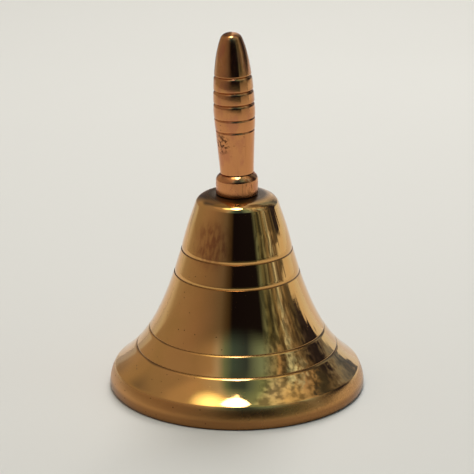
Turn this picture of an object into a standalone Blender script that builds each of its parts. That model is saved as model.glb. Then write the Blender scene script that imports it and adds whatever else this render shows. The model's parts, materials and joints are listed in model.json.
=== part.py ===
"""Sanctus bell: a cast and turned brass hand bell with a screwed-on handle and a link-hung clapper.

Metres, +Z up. The origin is the centre of the mouth, in the plane on which the bell stands.
From the top down, the assembly is held by one eye stud: grip, collar, crown of the bell, washer
and nut. A link hangs in the stud's eye, and the clapper's own eye hangs in the link.
"""
from math import atan2, cos, hypot, pi, radians, sin, tan

import bmesh
import bpy
from mathutils import Vector

MM = 0.001

# Fits
SEAT_GAP = 0.3 * MM            # between faces that touch
THREAD_GAP = 0.3 * MM          # around the stud and around the ball's spigot

# Bell body
MOUTH_RADIUS = 45.96 * MM      # widest, just above the mouth
MOUTH_EDGE_INSET = 0.9 * MM    # rounding of the mouth's outer edge, across
MOUTH_EDGE_RISE = 1.7 * MM     # rounding of the mouth's outer edge, upwards
LIP_WIDTH = 2.84 * MM          # the rolled lip, from the end of the flare out to the mouth
LIP_HEIGHT = 9.1 * MM          # end of the flare above the mouth
FLARE_SLOPE = radians(38.5)    # slope of the flare where the lip begins
WAIST_SLOPE = radians(75.5)    # slope of the waist under the shoulder
CROWN_HEIGHT = 72.0 * MM       # flat seat on top
SHOULDER_RADIUS = 17.26 * MM   # soft edge between shoulder and waist
SHOULDER_DROP = 10.44 * MM     # that edge below the crown
CROWN_EDGE_RADIUS = 14.36 * MM
CROWN_EDGE_DROP = 3.0 * MM
WAIST_WALL = 2.4 * MM
CROWN_WALL = 2.8 * MM
SOUND_BOW_WALL = 3.2 * MM      # where the clapper strikes
MOUTH_EDGE_WIDTH = 0.5 * MM    # rounding of the mouth's inner edge

# Pulls of the outline's curves at their two ends, as shares of the chord
CROWN_PULLS = (0.62, 0.25)
WAIST_PULLS = (0.491, 0.271)
LIP_PULLS = (0.08, 0.365)
COLLAR_PULLS = (0.33, 0.33)
TIP_PULLS = (0.36, 0.36)
NOSE_PULLS = (0.31, 0.189)
TAPER_PULLS = (0.093, 0.144)

# Turned cuts: depth, then reach and curve of the upper side, and of the lower side
WAIST_CUT = (0.24 * MM, 2.2 * MM, 3, 0.12 * MM, 1)     # a lap: its upper side rolls in slowly
FLARE_CUT = (0.28 * MM, 0.35 * MM, 2, 0.6 * MM, 1.5)
WIDE_CUT = (0.5 * MM, 0.6 * MM, 2, 1.1 * MM, 1.5)
FINE_CUT = (0.3 * MM, 0.35 * MM, 2, 0.5 * MM, 1.5)
WAIST_RING_DROPS = (9.83 * MM, 18.4 * MM)              # below the shoulder
FLARE_RING_RISES = (13.0 * MM, 6.46 * MM)              # above the lip
WAIST_BAND_BULGES = (0.14 * MM, 0.06 * MM)             # of the bands above the waist rings

# Handle
COLLAR_RADIUS = 7.47 * MM
COLLAR_HEIGHT = 7.4 * MM
COLLAR_SHOULDER_DROP = 2.0 * MM
COLLAR_SHOULDER_SLOPES = (radians(40), radians(68))    # at its inner and its outer end
COLLAR_EDGE = 0.2 * MM         # broken edge at its foot
CROWN_SEAT_MARGIN = 0.53 * MM  # flat of the crown that shows round the collar
GRIP_LEAN = radians(2.4)       # the grip leans towards -X, and the collar's top slopes to match
GRIP_LENGTH = 50.7 * MM
GRIP_FOOT_RADIUS = 5.98 * MM
GRIP_FOOT_SLOPE = radians(91.3)
GRIP_BELLY_RADIUS = 7.26 * MM
GRIP_BELLY_HEIGHT = 21.9 * MM
TIP_RADIUS = 3.78 * MM         # blunt tip of the nose
TIP_DROP = 1.9 * MM
TIP_SLOPE = radians(67.4)
WIDE_GROOVES = (35.43 * MM, 30.18 * MM, 25.58 * MM)    # heights above the grip's foot
FINE_GROOVES = (20.27 * MM, 15.8 * MM)
GRIP_BAND_BULGE = 0.08 * MM    # the bands between the grooves are slightly barrelled

# Stud, washer and nut (M4 sizes)
STUD_RADIUS = 2.0 * MM
STUD_CHAMFER = 0.4 * MM
STUD_IN_GRIP = 12.0 * MM
STUD_BELOW_NUT = 1.5 * MM
WASHER_RADIUS = 4.5 * MM
WASHER_THICKNESS = 0.8 * MM
NUT_ACROSS_FLATS = 7.0 * MM
NUT_HEIGHT = 3.2 * MM

# Clapper
EYE_WIRE = 1.0 * MM            # wire radius of both eyes
EYE_HOLE = 2.2 * MM            # hole radius of both eyes
EYE_NECK = 1.5 * MM            # taper from rod to eye
LINK_WIRE = 0.9 * MM
LINK_HOLE_WIDTH = 4.4 * MM
LINK_HOLE_LENGTH = 9.0 * MM
SHANK_RADIUS = 1.5 * MM
SPIGOT_RADIUS = 1.2 * MM
SHOULDER_RING_RADIUS = 2.4 * MM
SHOULDER_RING_HEIGHT = 1.0 * MM
BALL_RADIUS = 7.0 * MM
BALL_FACE_RADIUS = 2.7 * MM    # small flats faced on the ball round its bore
BALL_HEIGHT = 11.5 * MM        # the ball's centre above the mouth, at rest
PEENED_HEAD_RADIUS = 2.2 * MM
PEENED_HEAD_HEIGHT = 0.9 * MM

# Facets
BELL_SIDES = 64
HANDLE_SIDES = 36
SMALL_SIDES = 24
WIRE_SIDES = 8
CUT_MARGIN = 1.0 * MM          # how far a cutter runs past the metal
QUARTER_TURN = [radians(angle) for angle in (0, 30, 60, 90)]

# Places that follow from the sizes
SHOULDER_HEIGHT = CROWN_HEIGHT - SHOULDER_DROP
WAIST_RINGS = [SHOULDER_HEIGHT - drop for drop in WAIST_RING_DROPS]
FLARE_RINGS = [LIP_HEIGHT + rise for rise in FLARE_RING_RISES]
COLLAR_FOOT = CROWN_HEIGHT + SEAT_GAP
COLLAR_TOP = COLLAR_FOOT + COLLAR_HEIGHT
GRIP_FOOT = COLLAR_TOP + SEAT_GAP
STUD_BORE = STUD_RADIUS + THREAD_GAP
CROWN_SEAT_RADIUS = COLLAR_RADIUS + CROWN_SEAT_MARGIN
WASHER_TOP = CROWN_HEIGHT - CROWN_WALL - SEAT_GAP
NUT_TOP = WASHER_TOP - WASHER_THICKNESS - SEAT_GAP
NUT_FOOT = NUT_TOP - NUT_HEIGHT
EYE_RING = EYE_HOLE + EYE_WIRE                     # centre line radius of an eye
STUD_EYE = NUT_FOOT - STUD_BELOW_NUT - EYE_NECK - EYE_RING
LINK_PIVOT = STUD_EYE - EYE_RING                   # centre of the stud eye's lowest wire
CROSSING = EYE_WIRE + LINK_WIRE + SEAT_GAP         # between two wires that cross and touch
LINK_DROP = LINK_HOLE_LENGTH + 2 * LINK_WIRE
LINK_TOP = LINK_PIVOT + CROSSING
CLAPPER_PIVOT = LINK_TOP - LINK_DROP               # centre of the link's lowest wire
CLAPPER_EYE = CLAPPER_PIVOT + CROSSING - EYE_RING


def material(name, red, green, blue, roughness):
    """A plain metal."""
    metal = bpy.data.materials.new(name)
    metal.use_nodes = True
    shader = metal.node_tree.nodes["Principled BSDF"]
    shader.inputs["Base Color"].default_value = (red, green, blue, 1.0)
    shader.inputs["Metallic"].default_value = 1.0
    shader.inputs["Roughness"].default_value = roughness
    return metal


def bend(start, start_slope, end, end_slope, pulls, steps):
    """A cubic curve in (radius, height) that falls from start to end.

    Slopes are angles below the horizontal, and pulls are the handles as shares of the chord.
    """
    chord = hypot(end[0] - start[0], end[1] - start[1])
    near, far = pulls[0] * chord, pulls[1] * chord
    handles = (
        start,
        (start[0] + near * cos(start_slope), start[1] - near * sin(start_slope)),
        (end[0] - far * cos(end_slope), end[1] + far * sin(end_slope)),
        end,
    )
    points = []
    for step in range(steps + 1):
        t = step / steps
        weights = ((1 - t) ** 3, 3 * t * (1 - t) ** 2, 3 * t * t * (1 - t), t ** 3)
        points.append(tuple(sum(w * p[i] for w, p in zip(weights, handles)) for i in (0, 1)))
    return points


def radius_at(curve, height):
    """The radius of a falling curve at a height on it."""
    for (r0, z0), (r1, z1) in zip(curve, curve[1:]):
        if z1 <= height <= z0 and z0 != z1:
            return r0 + (r1 - r0) * (height - z0) / (z1 - z0)
    raise ValueError("height is off the curve")


def offset_inward(points, wall):
    """Points moved square to their outline, towards the inside, by wall(share along it)."""
    moved = []
    last = len(points) - 1
    for index, (radius, height) in enumerate(points):
        r0, z0 = points[max(index - 1, 0)]
        r1, z1 = points[min(index + 1, last)]
        direction = atan2(z1 - z0, r1 - r0)
        thickness = wall(index / last)
        moved.append((radius + thickness * sin(direction), height - thickness * cos(direction)))
    return moved


def lathe(outline, sides, through_bore):
    """Turn an outline in (radius, height) about Z; a piece with a bore closes its outline."""
    bm = bmesh.new()
    verts = [bm.verts.new((radius, 0, height)) for radius, height in outline]
    edges = [bm.edges.new(pair) for pair in zip(verts, verts[1:])]
    if through_bore:
        edges.append(bm.edges.new((verts[-1], verts[0])))
    bmesh.ops.spin(bm, geom=verts + edges, axis=(0, 0, 1), cent=(0, 0, 0), angle=2 * pi,
                   steps=sides, use_merge=True)
    bmesh.ops.remove_doubles(bm, verts=bm.verts, dist=0.001 * MM)
    bmesh.ops.recalc_face_normals(bm, faces=bm.faces)
    return bm


def wire_loop(centre_height, hole_width, hole_length, wire, across, steps):
    """A closed loop of round wire, upright in the plane of Z and the direction across."""
    bend_radius = hole_width / 2 + wire
    half_straight = (hole_length - hole_width) / 2
    side = Vector(across)
    up = Vector((0, 0, 1))
    square = side.cross(up)
    centre = up * centre_height
    bm = bmesh.new()
    rings = []
    for half, shift in ((0, half_straight), (1, -half_straight)):
        for step in range(steps + (half_straight > 0)):
            angle = pi * (half + step / steps)
            outward = side * cos(angle) + up * sin(angle)
            middle = centre + up * shift + outward * bend_radius
            ring = []
            for facet in range(WIRE_SIDES):
                turn = 2 * pi * (facet + 0.5) / WIRE_SIDES
                ring.append(bm.verts.new(middle + (outward * cos(turn) + square * sin(turn)) * wire))
            rings.append(ring)
    for ring, following in zip(rings, rings[1:] + rings[:1]):
        for facet in range(WIRE_SIDES):
            beyond = (facet + 1) % WIRE_SIDES
            bm.faces.new((ring[facet], ring[beyond], following[beyond], following[facet]))
    bmesh.ops.recalc_face_normals(bm, faces=bm.faces)
    return bm


def piece(name, bm, metal, pivot=None, sharp=30):
    """An object from a mesh given in the bell's frame, with its origin at its pivot."""
    origin = Vector((0, 0, 0)) if pivot is None else pivot.matrix_world.translation.copy()
    bmesh.ops.translate(bm, verts=bm.verts, vec=-origin)
    mesh = bpy.data.meshes.new(name)
    bm.to_mesh(mesh)
    bm.free()
    mesh.shade_smooth()
    mesh.set_sharp_from_angle(angle=radians(sharp))
    mesh.materials.append(metal)
    made = bpy.data.objects.new(name, mesh)
    bpy.context.collection.objects.link(made)
    made.parent = pivot
    return made


def tool_body(name, bm, metal, parent=None):
    """A hidden body that shapes another piece."""
    made = piece(name, bm, metal, parent)
    made.hide_render = True
    made.display_type = "WIRE"
    return made


def combine(target, operation, other):
    """Shape a piece with another body."""
    step = target.modifiers.new(other.name, "BOOLEAN")
    step.operation = operation
    step.solver = "EXACT"
    step.object = other


def pivot_at(name, height, parent=None):
    """An empty on a joint's axis."""
    empty = bpy.data.objects.new(name, None)
    empty.empty_display_size = 5 * MM
    bpy.context.collection.objects.link(empty)
    empty.parent = parent
    empty.location.z = height - (parent.matrix_world.translation.z if parent else 0)
    bpy.context.view_layer.update()
    return empty


def cut_at(distance, cut):
    """How deep a turned cut is, at a distance above or below its bottom."""
    depth, above, upper_curve, below, lower_curve = cut
    reach, curve = (above, upper_curve) if distance > 0 else (below, lower_curve)
    return depth * max(1 - abs(distance) / reach, 0) ** curve


def bulge_at(height, top, bottom, bulge):
    """How far a barrelled band stands out at a height: all of its bulge half way down."""
    share = (top - height) / (top - bottom)
    return 4 * bulge * share * (1 - share) if 0 < share < 1 else 0.0


def turned(curve, skip, cuts, bands):
    """Every few points of a fine curve, with its barrelled bands and the points its cuts need."""
    heights = {height for _, height in curve[::skip]}
    for bottom, (_, above, _, below, _) in cuts:
        heights -= {z for z in heights if -1.2 * below < z - bottom < 1.2 * above}
    for bottom, (_, above, upper_curve, below, lower_curve) in cuts:
        heights |= {bottom, bottom + above, bottom - below}
        if upper_curve > 1:
            heights.add(bottom + 0.35 * above)
        if lower_curve > 1:
            heights.add(bottom - 0.4 * below)
    points = []
    for height in sorted(heights, reverse=True):
        radius = radius_at(curve, height)
        radius -= sum(cut_at(height - bottom, cut) for bottom, cut in cuts)
        radius += sum(bulge_at(height, *band) for band in bands)
        points.append((radius, height))
    return points


def bell_outline():
    """The bell's closed outline: crown, shoulder, waist, flare, lip, mouth and inside."""
    crown_start = (CROWN_SEAT_RADIUS, CROWN_HEIGHT)
    crown_edge = (CROWN_EDGE_RADIUS, CROWN_HEIGHT - CROWN_EDGE_DROP)
    shoulder = (SHOULDER_RADIUS, SHOULDER_HEIGHT)
    flare_end = (MOUTH_RADIUS - LIP_WIDTH, LIP_HEIGHT)
    widest = (MOUTH_RADIUS, MOUTH_EDGE_RISE)
    taper = atan2(crown_edge[1] - shoulder[1], shoulder[0] - crown_edge[0])
    crown = bend(crown_start, 0, crown_edge, taper, CROWN_PULLS, 6)
    waist = bend(shoulder, WAIST_SLOPE, flare_end, FLARE_SLOPE, WAIST_PULLS, 60)
    lip = bend(flare_end, FLARE_SLOPE, widest, pi / 2, LIP_PULLS, 5)
    mouth_edge = [(MOUTH_RADIUS - MOUTH_EDGE_INSET * (1 - cos(a)), MOUTH_EDGE_RISE * (1 - sin(a)))
                  for a in QUARTER_TURN[1:]]
    cuts = [(ring, WAIST_CUT) for ring in WAIST_RINGS] + [(ring, FLARE_CUT) for ring in FLARE_RINGS]
    bands = list(zip([SHOULDER_HEIGHT] + WAIST_RINGS, WAIST_RINGS, WAIST_BAND_BULGES))
    outside = crown + turned(waist, 5, cuts, bands)[:-1] + lip + mouth_edge

    def wall(share):
        return WAIST_WALL + (SOUND_BOW_WALL - WAIST_WALL) * share ** 2

    inner_waist = offset_inward(waist[::10], wall)
    inner_lip = offset_inward(lip[::2], lambda share: SOUND_BOW_WALL)[1:]
    inner_mouth = (inner_lip[-1][0] + MOUTH_EDGE_WIDTH, 0)
    inner_crown = offset_inward(crown[::3], lambda share: CROWN_WALL + share * (WAIST_WALL - CROWN_WALL))
    ceiling = CROWN_HEIGHT - CROWN_WALL
    inner_crown[0] = (inner_crown[0][0], ceiling)
    inside = inner_crown + inner_waist + inner_lip + [inner_mouth]
    return [(STUD_BORE, CROWN_HEIGHT)] + outside + inside[::-1] + [(STUD_BORE, ceiling)]


def grip_outline():
    """The grip's outline from tip to foot, in heights above its foot."""
    tip_edge = (TIP_RADIUS, GRIP_LENGTH - TIP_DROP)
    belly = (GRIP_BELLY_RADIUS, GRIP_BELLY_HEIGHT)
    tip = bend((0, GRIP_LENGTH), 0, tip_edge, TIP_SLOPE, TIP_PULLS, 20)
    nose = bend(tip_edge, TIP_SLOPE, belly, pi / 2, NOSE_PULLS, 56)
    taper = bend(belly, pi / 2, (GRIP_FOOT_RADIUS, 0), GRIP_FOOT_SLOPE, TAPER_PULLS, 20)
    cuts = [(height, WIDE_CUT) for height in WIDE_GROOVES] + [(height, FINE_CUT) for height in FINE_GROOVES]
    grooves = WIDE_GROOVES + FINE_GROOVES
    bands = [(upper, lower, GRIP_BAND_BULGE) for upper, lower in zip(grooves, grooves[1:])]
    return turned(tip + nose[1:] + taper[1:], 4, cuts, bands) + [(0, 0)]


def bell_body(metal):
    return piece("bell_body", lathe(bell_outline(), BELL_SIDES, True), metal)


def handle_collar(metal):
    """A turned ring with a sloped shoulder; its top is dressed to the slope of the grip's foot."""
    inner_end = (GRIP_FOOT_RADIUS, COLLAR_TOP)
    outer_end = (COLLAR_RADIUS, COLLAR_TOP - COLLAR_SHOULDER_DROP)
    shoulder = bend(inner_end, COLLAR_SHOULDER_SLOPES[0], outer_end, COLLAR_SHOULDER_SLOPES[1],
                    COLLAR_PULLS, 4)
    foot = [(COLLAR_RADIUS, COLLAR_FOOT + COLLAR_EDGE), (COLLAR_RADIUS - COLLAR_EDGE, COLLAR_FOOT)]
    outline = [(STUD_BORE, COLLAR_TOP)] + shoulder + foot + [(STUD_BORE, COLLAR_FOOT)]
    bm = lathe(outline, HANDLE_SIDES, True)
    for vert in bm.verts:
        share = (vert.co.z - COLLAR_FOOT) / COLLAR_HEIGHT
        vert.co.z += vert.co.x * tan(GRIP_LEAN) * share
    return piece("handle_collar", bm, metal)


def handle_grip(metal):
    """A turned grip that leans on the collar and is bored upright for the stud."""
    grip = piece("handle_grip", lathe(grip_outline(), HANDLE_SIDES, False), metal)
    grip.location.z = GRIP_FOOT
    grip.rotation_euler.y = -GRIP_LEAN
    bore_top = GRIP_FOOT + STUD_IN_GRIP + SEAT_GAP
    below = GRIP_FOOT - CUT_MARGIN
    bore = [(0, bore_top), (STUD_BORE, bore_top), (STUD_BORE, below), (0, below)]
    combine(grip, "DIFFERENCE", tool_body("grip_bore", lathe(bore, SMALL_SIDES, False), metal))
    return grip


def eye(name, height, metal, parent=None):
    """The ring of an eye, in the XZ plane, to be joined to its rod."""
    hole = 2 * EYE_HOLE
    return tool_body(name, wire_loop(height, hole, hole, EYE_WIRE, (1, 0, 0), 12), metal, parent)


def eye_stud(metal):
    """The threaded stud that ties the bell together, with the clapper's eye at its foot."""
    top = GRIP_FOOT + STUD_IN_GRIP
    neck = STUD_EYE + EYE_RING
    outline = [(0, top), (STUD_RADIUS - STUD_CHAMFER, top), (STUD_RADIUS, top - STUD_CHAMFER),
               (STUD_RADIUS, neck + EYE_NECK), (EYE_WIRE, neck), (0, neck)]
    stud = piece("eye_stud", lathe(outline, SMALL_SIDES, False), metal)
    combine(stud, "UNION", eye("stud_eye_ring", STUD_EYE, metal))
    return stud


def crown_washer(metal):
    foot = WASHER_TOP - WASHER_THICKNESS
    outline = [(STUD_BORE, WASHER_TOP), (WASHER_RADIUS, WASHER_TOP), (WASHER_RADIUS, foot), (STUD_BORE, foot)]
    return piece("crown_washer", lathe(outline, SMALL_SIDES, True), metal)


def lock_nut(metal):
    """A hexagon bar, turned to take off its corners and bored."""
    corner = NUT_ACROSS_FLATS / 2 / cos(pi / 6)
    bm = bmesh.new()
    bmesh.ops.create_cone(bm, cap_ends=True, segments=6, radius1=corner, radius2=corner,
                          depth=NUT_HEIGHT + 2 * CUT_MARGIN)
    bmesh.ops.translate(bm, verts=bm.verts, vec=(0, 0, NUT_TOP - NUT_HEIGHT / 2))
    nut = piece("lock_nut", bm, metal)
    flat = NUT_ACROSS_FLATS / 2
    drop = (corner + CUT_MARGIN - flat) * tan(radians(30))
    outline = [(STUD_BORE, NUT_TOP), (flat, NUT_TOP), (corner + CUT_MARGIN, NUT_TOP - drop),
               (corner + CUT_MARGIN, NUT_FOOT + drop), (flat, NUT_FOOT), (STUD_BORE, NUT_FOOT)]
    combine(nut, "INTERSECT", tool_body("nut_turning", lathe(outline, SMALL_SIDES, True), metal))
    return nut


def clapper_link(metal, pivot):
    middle = LINK_TOP - LINK_DROP / 2
    loop = wire_loop(middle, LINK_HOLE_WIDTH, LINK_HOLE_LENGTH, LINK_WIRE, (0, 1, 0), 10)
    return piece("clapper_link", loop, metal, pivot)


def clapper_shank(metal, pivot):
    """The clapper's rod: eye, taper, shoulder ring, spigot through the ball and peened end."""
    neck = CLAPPER_EYE - EYE_RING
    face = (BALL_RADIUS ** 2 - BALL_FACE_RADIUS ** 2) ** 0.5
    ring_foot = BALL_HEIGHT + face + SEAT_GAP
    ring_top = ring_foot + SHOULDER_RING_HEIGHT
    head_top = BALL_HEIGHT - face - SEAT_GAP
    head = [(PEENED_HEAD_RADIUS * cos(a), head_top - PEENED_HEAD_HEIGHT * sin(a))
            for a in QUARTER_TURN]
    outline = [(0, neck), (EYE_WIRE, neck), (SHANK_RADIUS, neck - EYE_NECK),
               (SHANK_RADIUS, ring_top), (SHOULDER_RING_RADIUS, ring_top),
               (SHOULDER_RING_RADIUS, ring_foot), (SPIGOT_RADIUS, ring_foot), (SPIGOT_RADIUS, head_top)]
    outline += head
    shank = piece("clapper_shank", lathe(outline, SMALL_SIDES, False), metal, pivot)
    combine(shank, "UNION", eye("shank_eye_ring", CLAPPER_EYE, metal, pivot))
    return shank


def clapper_ball(metal, pivot):
    """The striking ball, bored for the spigot and faced flat above and below."""
    start = pi / 2 - atan2(BALL_FACE_RADIUS, (BALL_RADIUS ** 2 - BALL_FACE_RADIUS ** 2) ** 0.5)
    steps = 12
    arc = [start - 2 * start * step / steps for step in range(steps + 1)]
    bore = SPIGOT_RADIUS + THREAD_GAP
    rounding = [(BALL_RADIUS * cos(a), BALL_HEIGHT + BALL_RADIUS * sin(a)) for a in arc]
    outline = [(bore, rounding[0][1])] + rounding + [(bore, rounding[-1][1])]
    return piece("clapper_ball", lathe(outline, SMALL_SIDES, True), metal, pivot)


def main():
    for old in list(bpy.data.objects):
        bpy.data.objects.remove(old)
    polished_brass = material("polished_brass", 0.60, 0.42, 0.16, 0.12)
    handle_brass = material("handle_brass", 0.66, 0.38, 0.19, 0.2)
    clapper_brass = material("clapper_brass", 0.55, 0.38, 0.15, 0.35)
    zinc_steel = material("zinc_steel", 0.56, 0.57, 0.58, 0.35)

    link_pivot = pivot_at("link_pivot", LINK_PIVOT)
    clapper_pivot = pivot_at("clapper_pivot", CLAPPER_PIVOT, link_pivot)

    bell_body(polished_brass)
    handle_collar(handle_brass)
    handle_grip(handle_brass)
    eye_stud(zinc_steel)
    crown_washer(zinc_steel)
    lock_nut(zinc_steel)
    clapper_link(zinc_steel, link_pivot)
    clapper_shank(zinc_steel, clapper_pivot)
    clapper_ball(clapper_brass, clapper_pivot)


main()
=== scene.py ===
"""Sanctus bell: the polished brass surfaces, the turned detail and the hung clapper, on the CAD frame."""
import json
from math import asin, atan2, cos, hypot, pi, radians, sin, tan

import bmesh
import bpy
from mathutils import Matrix, Vector


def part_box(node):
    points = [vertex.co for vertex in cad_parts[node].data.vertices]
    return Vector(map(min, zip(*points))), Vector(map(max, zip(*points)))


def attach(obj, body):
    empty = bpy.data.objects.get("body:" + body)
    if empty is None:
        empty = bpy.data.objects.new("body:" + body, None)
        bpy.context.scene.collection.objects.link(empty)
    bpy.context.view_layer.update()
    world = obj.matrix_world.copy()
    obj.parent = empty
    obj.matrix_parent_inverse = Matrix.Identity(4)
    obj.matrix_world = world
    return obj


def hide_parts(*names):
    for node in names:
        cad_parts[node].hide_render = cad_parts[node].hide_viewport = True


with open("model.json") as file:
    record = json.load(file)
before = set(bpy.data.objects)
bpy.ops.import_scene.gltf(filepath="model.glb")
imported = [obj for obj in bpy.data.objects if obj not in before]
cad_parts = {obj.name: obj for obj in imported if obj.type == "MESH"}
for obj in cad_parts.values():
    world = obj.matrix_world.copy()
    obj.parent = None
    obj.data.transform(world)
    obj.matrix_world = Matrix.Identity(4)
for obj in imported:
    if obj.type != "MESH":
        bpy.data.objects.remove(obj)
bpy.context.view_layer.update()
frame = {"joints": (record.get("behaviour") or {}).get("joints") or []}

MM = 0.001

# ---------------------------------------------------------------- places taken from the frame

BELL_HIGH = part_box("bell_body")[1]
COLLAR_LOW, COLLAR_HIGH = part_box("handle_collar")
STUD_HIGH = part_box("eye_stud")[1]
WASHER_LOW, WASHER_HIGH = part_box("crown_washer")
NUT_LOW, NUT_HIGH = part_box("lock_nut")
LINK_LOW, LINK_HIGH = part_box("clapper_link")
BALL_LOW, BALL_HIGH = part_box("clapper_ball")
PIVOTS = {joint["name"]: joint["pos_m"][2] for joint in frame["joints"]}

MOUTH_RADIUS = BELL_HIGH.x
CROWN_HEIGHT = BELL_HIGH.z

# Bell outline
MOUTH_EDGE_INSET = 0.9 * MM
MOUTH_EDGE_RISE = 1.7 * MM
MOUTH_EDGE_WIDTH = 0.5 * MM
LIP_WIDTH = 2.84 * MM
LIP_HEIGHT = 8.75 * MM
FLARE_SLOPE = radians(38.5)
FLARE_RUN = 1.0 * MM               # the flare goes on straight this far before the lip bends
WAIST_SLOPE = radians(75.5)
SHOULDER_RADIUS = 17.26 * MM
SHOULDER_HEIGHT = CROWN_HEIGHT - 10.44 * MM
CROWN_EDGE_RADIUS = 14.72 * MM
CROWN_EDGE_DROP = 3.0 * MM
CROWN_SEAT_RADIUS = COLLAR_HIGH.x + 0.53 * MM
WAIST_WALL = 2.4 * MM
CROWN_WALL = 2.8 * MM
SOUND_BOW_WALL = 3.2 * MM
BORE_RADIUS = 2.3 * MM

# Bends: how far the two handles reach, as shares of the chord, and the steps along the curve
CROWN_BEND = (0.5, 0.25, 24)
CONE_BEND = (0.33, 0.33, 8)
WAIST_BEND = (0.491, 0.271, 240)
LIP_BEND = (0.12, 0.4, 23)
COLLAR_BEND = (0.7, 0.15, 16)
TIP_BEND = (0.36, 0.36, 20)
NOSE_BEND = (0.31, 0.189, 160)
TAPER_BEND = (0.093, 0.144, 60)
STUD_NECK_BEND = (0.3, 0.4, 8)
SHANK_NECK_BEND = (0.4, 0.3, 8)

# Turned rings on the bell
WAIST_RINGS = (SHOULDER_HEIGHT - 9.83 * MM, SHOULDER_HEIGHT - 18.4 * MM)
FLARE_RINGS = (22.1 * MM, 15.56 * MM)
WAIST_BAND_BULGES = (0.14 * MM, 0.06 * MM)

# Turned cuts: depth, then reach and curve of the upper side, and of the lower side
WAIST_CUT = (0.24 * MM, 2.2 * MM, 3, 0.12 * MM, 1)
FLARE_CUT = (0.28 * MM, 0.35 * MM, 2, 0.6 * MM, 1.5)
WIDE_CUT = (0.5 * MM, 0.6 * MM, 2, 1.1 * MM, 2.4)
FINE_CUT = (0.3 * MM, 0.35 * MM, 2, 0.5 * MM, 1.5)

# Handle
SEAT_GAP = 0.3 * MM
COLLAR_RADIUS = COLLAR_HIGH.x
COLLAR_FOOT = COLLAR_LOW.z
COLLAR_HEIGHT = 7.4 * MM
COLLAR_SHOULDER_DROP = 2.0 * MM
COLLAR_SHOULDER_SLOPES = (radians(40), radians(68))
COLLAR_EDGE = 0.2 * MM
GRIP_LEAN = radians(2.4)
GRIP_FOOT = COLLAR_FOOT + COLLAR_HEIGHT + SEAT_GAP
GRIP_LENGTH = 50.69 * MM           # a hair less than the CAD grip, whose coarser tip is cut by its facets
GRIP_FOOT_RADIUS = 5.98 * MM
GRIP_FOOT_SLOPE = radians(91.3)
GRIP_FOOT_EDGE = 0.12 * MM
GRIP_BELLY = (7.26 * MM, 21.9 * MM)
GRIP_TIP_EDGE = (3.78 * MM, GRIP_LENGTH - 1.9 * MM)
GRIP_TIP_SLOPE = radians(67.4)
GRIP_BORE_DEPTH = 12.3 * MM
WIDE_GROOVES = (35.43 * MM, 30.18 * MM, 25.58 * MM)
FINE_GROOVES = (20.27 * MM, 15.8 * MM)
GRIP_BAND_BULGE = 0.08 * MM

# Stud, washer and nut: M4 with its standard pitch
STUD_RADIUS = 2.0 * MM
STUD_CHAMFER = 0.4 * MM
THREAD_PITCH = 0.7 * MM
THREAD_DEPTH = 0.43 * MM
THREAD_FLANK = 2.5                 # how fast the depth grows along the thread, in depths a pitch
THREAD_CREST = 0.15                # taken off that growth, which leaves the crest flat
THREAD_ROWS = 8                    # rows of points in a pitch
STUD_NECK_SLOPES = (radians(130), radians(95))
NUT_BORE = 2.06 * MM
NUT_COUNTERSINK = 0.35 * MM
NUT_FACE_SHARE = 0.97              # the turned circle on each face, as a share of the flats
NUT_CHAMFER = radians(30)
HALF_FLAT = radians(30)            # half of the angle that one of the six flats spans
EDGE_ROUNDING = 0.12 * MM

# Clapper
EYE_WIRE = 1.0 * MM
EYE_RING = 3.2 * MM
EYE_NECK = 1.5 * MM
NECK_RADIUS = 0.9 * EYE_WIRE
SHANK_NECK_SLOPE = radians(85)
LINK_WIRE = 0.9 * MM
LINK_BEND_RADIUS = 3.1 * MM
LINK_SEAM = 0.12 * MM
SHANK_RADIUS = 1.5 * MM
SPIGOT_RADIUS = 1.2 * MM
SHOULDER_RING = (2.4 * MM, 1.0 * MM)
PEENED_HEAD = (2.2 * MM, 0.9 * MM)
BALL_FACE = 2.7 * MM

# Steps round and along the meshes
BELL_SIDES = 192
HANDLE_SIDES = 128
NUT_SIDES = 96
SMALL_SIDES = 64
ROD_SIDES = 32
WIRE_SIDES = 20
EYE_STEPS = 24
LINK_STEPS = 20
BALL_STEPS = 40
EDGE_SKIP = 4                       # the inside takes every fourth point of the crown and the lip
WAIST_SKIP = 8                      # and every eighth of the waist
BELL_STEPS = (0.7 * MM, 0.04 * MM)  # down the waist, and in its cuts
GRIP_STEPS = (0.5 * MM, 0.05 * MM)
HAIR = 0.001 * MM                   # points nearer than this are at the same place

# Camera
CAMERA_DISTANCE = 0.9
CAMERA_ELEVATION = radians(18.473)
AIM_HEIGHT = 55.62 * MM
LENS_MM = 191.55
SENSOR_MM = 36.0
CLIP_END = 20.0

# Stage, in metres
FLOOR_RADIUS = 6.0
FLOOR_SIDES = 96
SCREEN_RADIUS = 0.5
SCREEN_HEIGHT = 0.108
SCREEN_GAP = (radians(40), radians(88))
SCREEN_STEPS = 80
TREELINE = (0.066, 0.076)           # heights on the screen where the board's edge becomes the room
TREELINE_WAVER = 0.014              # how far that line wavers on the right
TREELINE_START = (radians(70), radians(90))
LAMP_AIM = (0, 0, 0.05)
LAMPS = (
    # name, place, size, power, seen in the metal
    ("key_softbox", (-0.01, -0.11, 0.95), (0.30, 0.38), 2.0, True),
    ("slot_lamp", (0.0, -0.18, 0.85), (0.07, 0.27), 0.15, True),
    ("floor_softbox", (0.12, 0.7, 0.95), (0.6, 0.5), 7.0, False),
)

# A soft light in the room, high on the left
GLOW_TOWARDS = (-0.236, -0.105, 0.966)
GLOW_REACH = (0.28, 0.02)           # from none of it to all of it, on a globe of radius 1
GLOW_COLOUR = (1.0, 1.0, 0.72)
GLOW_STRENGTH = 3.2

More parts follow.
